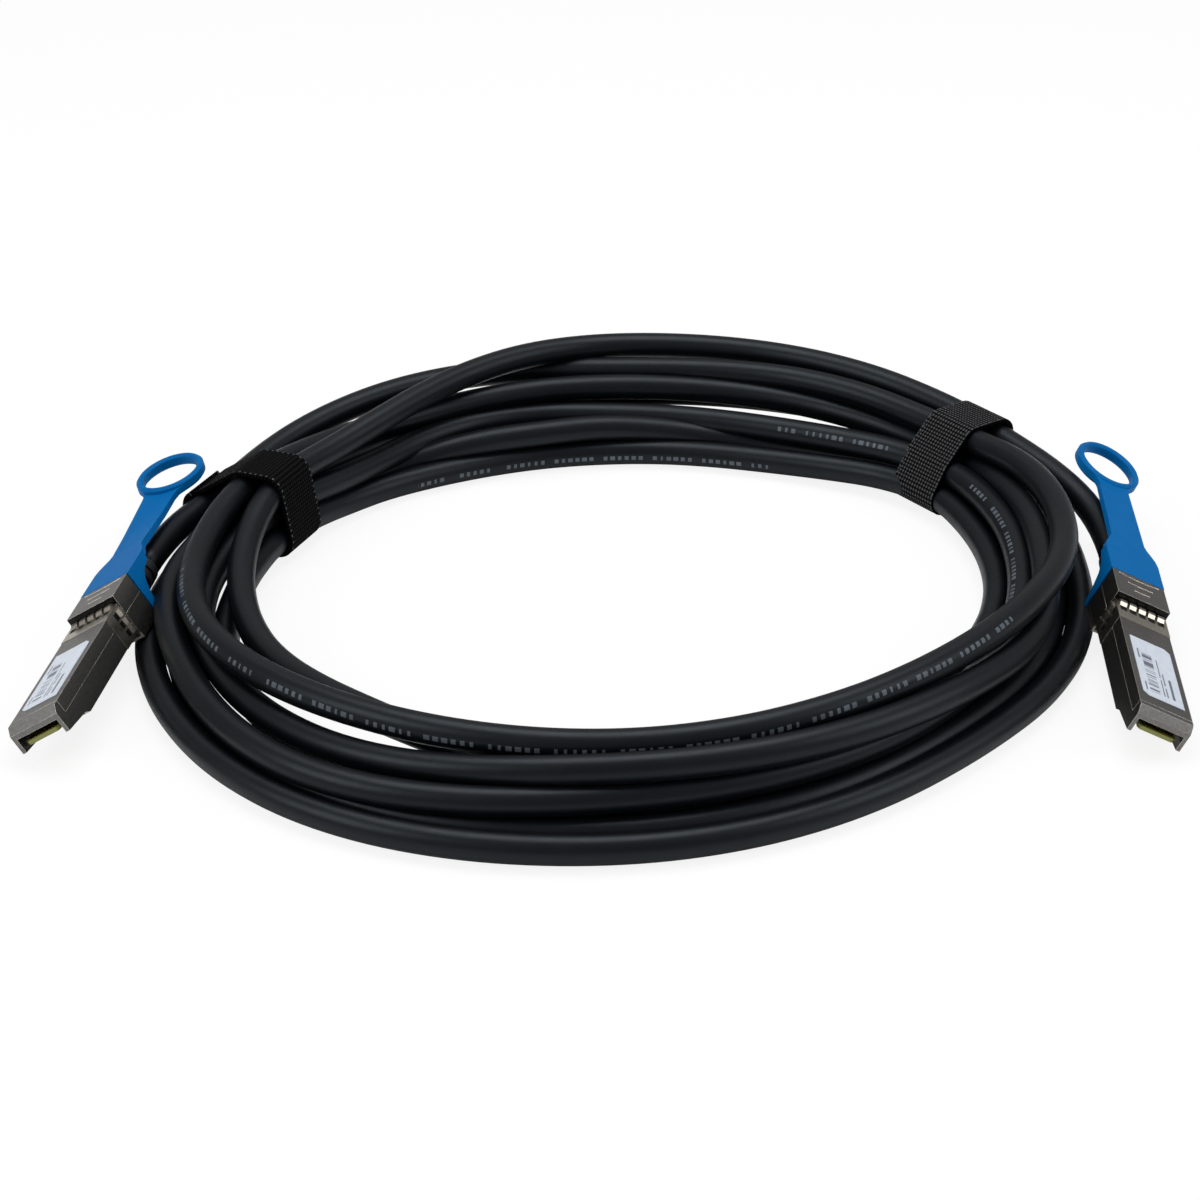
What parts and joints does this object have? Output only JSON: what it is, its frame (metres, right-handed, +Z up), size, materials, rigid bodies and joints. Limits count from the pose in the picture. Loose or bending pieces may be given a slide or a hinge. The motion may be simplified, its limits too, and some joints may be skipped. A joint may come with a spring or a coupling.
{
  "type": "direct attach copper cable",
  "caption": "Coiled black network cable with a latching metal pluggable end at each side, blue pull tabs with finger rings and two hook-and-loop ties",
  "frame": {"origin": "on the surface the part lies on, below the middle of the box round its two plugs", "axes": "+Z up, +Y from the open noses towards the far side of the coil, +X towards the right-hand plug as seen with the noses nearest"},
  "size_m": [0.2672, 0.2301, 0.027],
  "materials": {
    "cast_shell": "satin nickel",
    "spring_band": "bright",
    "board": "satin",
    "gold": "bright",
    "chip_black": "matte",
    "capacitor": "matte",
    "steel": "satin",
    "blue_plastic": "satin",
    "black_rubber": "matte",
    "foil": "bright",
    "core_white": "gloss",
    "label_stock": "satin",
    "jacket": "satin",
    "hook_loop": "woven"
  },
  "bodies": {
    "cable_and_shells": {"lower_housing_a": "cast_shell", "top_cover_a": "cast_shell", "emi_collar_a": "spring_band", "circuit_card_a": "board", "contact_pads_a": "gold", "memory_chip_a": "chip_black", "coupling_capacitors_a": "capacitor", "cover_screw_a": "steel", "latch_pin_a": "steel", "latch_spring_a": "steel", "cable_boot_a": "black_rubber", "crimp_ferrule_a": "gold", "shielded_pairs_a": "foil", "wire_cores_a": "core_white", "plug_label_a": "label_stock", "lower_housing_b": "cast_shell", "top_cover_b": "cast_shell", "emi_collar_b": "spring_band", "circuit_card_b": "board", "contact_pads_b": "gold", "memory_chip_b": "chip_black", "coupling_capacitors_b": "capacitor", "cover_screw_b": "steel", "latch_pin_b": "steel", "latch_spring_b": "steel", "cable_boot_b": "black_rubber", "crimp_ferrule_b": "gold", "shielded_pairs_b": "foil", "wire_cores_b": "core_white", "plug_label_b": "label_stock", "cable_coil": "jacket", "cable_tail_a": "jacket", "cable_tail_b": "jacket", "tie_left": "hook_loop", "tie_right": "hook_loop"},
    "pull_tab_a": {"pull_strap_a": "blue_plastic", "release_slider_a": "spring_band"},
    "latch_a": {"latch_lever_a": "steel"},
    "pull_tab_b": {"pull_strap_b": "blue_plastic", "release_slider_b": "spring_band"},
    "latch_b": {"latch_lever_b": "steel"}
  },
  "joints": [
    {"name": "pull_tab_slide_a", "type": "slide", "parent": "cable_and_shells", "child": "pull_tab_a", "axis": [0.1495, 0.9886, 0.0192], "range_m": [0, 0.0018], "stiffness_N_per_m": 600, "springref_m": -0.0005},
    {"name": "latch_hinge_a", "type": "hinge", "parent": "cable_and_shells", "child": "latch_a", "pos_m": [-0.11766, -0.01595, 0.00682], "axis": [-0.8305, 0.1361, -0.5401], "range_deg": [0, 4.02]},
    {"name": "pull_tab_slide_b", "type": "slide", "parent": "cable_and_shells", "child": "pull_tab_b", "axis": [0.0331, 0.9985, 0.0436], "range_m": [0, 0.0018], "stiffness_N_per_m": 600, "springref_m": -0.0005},
    {"name": "latch_hinge_b", "type": "hinge", "parent": "cable_and_shells", "child": "latch_b", "pos_m": [0.11922, -0.01175, 0.00628], "axis": [-0.902, 0.0111, 0.4317], "range_deg": [0, 4.02]}
  ],
  "couplings": [
    {"joint": "latch_hinge_a", "follows": "pull_tab_slide_a", "rad_per_m": 38.785},
    {"joint": "latch_hinge_b", "follows": "pull_tab_slide_b", "rad_per_m": 38.785}
  ]
}
